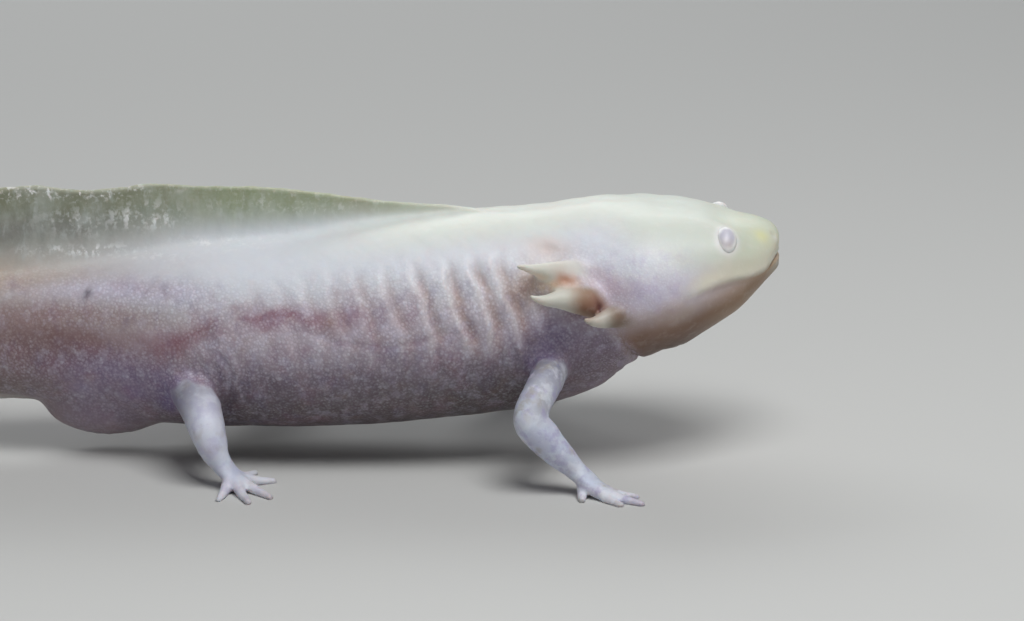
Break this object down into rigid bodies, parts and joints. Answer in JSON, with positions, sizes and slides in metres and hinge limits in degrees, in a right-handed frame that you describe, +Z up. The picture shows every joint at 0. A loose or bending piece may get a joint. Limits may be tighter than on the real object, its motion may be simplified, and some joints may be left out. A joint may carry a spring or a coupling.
{
  "type": "axolotl",
  "caption": "Still life-size model of a pale axolotl walking on its feet, with a long finned tail, broad head and short bare gill stalks.",
  "frame": {"origin": "on the floor, under the middle of the animal's bounding box", "axes": "+X towards the snout, +Y to the animal's left, +Z up"},
  "size_m": [0.2499, 0.0705, 0.0505],
  "materials": {
    "skin_head": "soft moist skin, cream white with a faint yellow-green tint",
    "skin_body": "soft moist skin, cream above, pinkish lavender flanks with fine white granules",
    "skin_leg": "soft moist skin, bluish white",
    "gill": "smooth cream gill stalks, pink at the root",
    "fin": "thin translucent milky grey-green fin with fine white flecks",
    "vent": "soft purplish skin",
    "eye": "wet pale lilac-grey dome"
  },
  "bodies": {
    "root": {"head": "skin_head", "lower_jaw": "skin_head", "eye_r": "eye", "eye_l": "eye", "neck": "skin_body", "gill_r_upper": "gill", "gill_r_middle": "gill", "gill_r_lower": "gill", "gill_l_upper": "gill", "gill_l_middle": "gill", "gill_l_lower": "gill", "trunk_front": "skin_body", "trunk_mid": "skin_body", "trunk_rear": "skin_body", "vent": "vent", "tail_base": "skin_body", "tail_mid": "skin_body", "tail_tip": "skin_body", "dorsal_fin": "fin", "tail_fin_upper": "fin", "tail_fin_lower": "fin", "upper_arm_r": "skin_leg", "forearm_r": "skin_leg", "hand_r": "skin_leg", "upper_arm_l": "skin_leg", "forearm_l": "skin_leg", "hand_l": "skin_leg", "thigh_r": "skin_leg", "shin_r": "skin_leg", "foot_r": "skin_leg", "thigh_l": "skin_leg", "shin_l": "skin_leg", "foot_l": "skin_leg"}
  },
  "joints": []
}
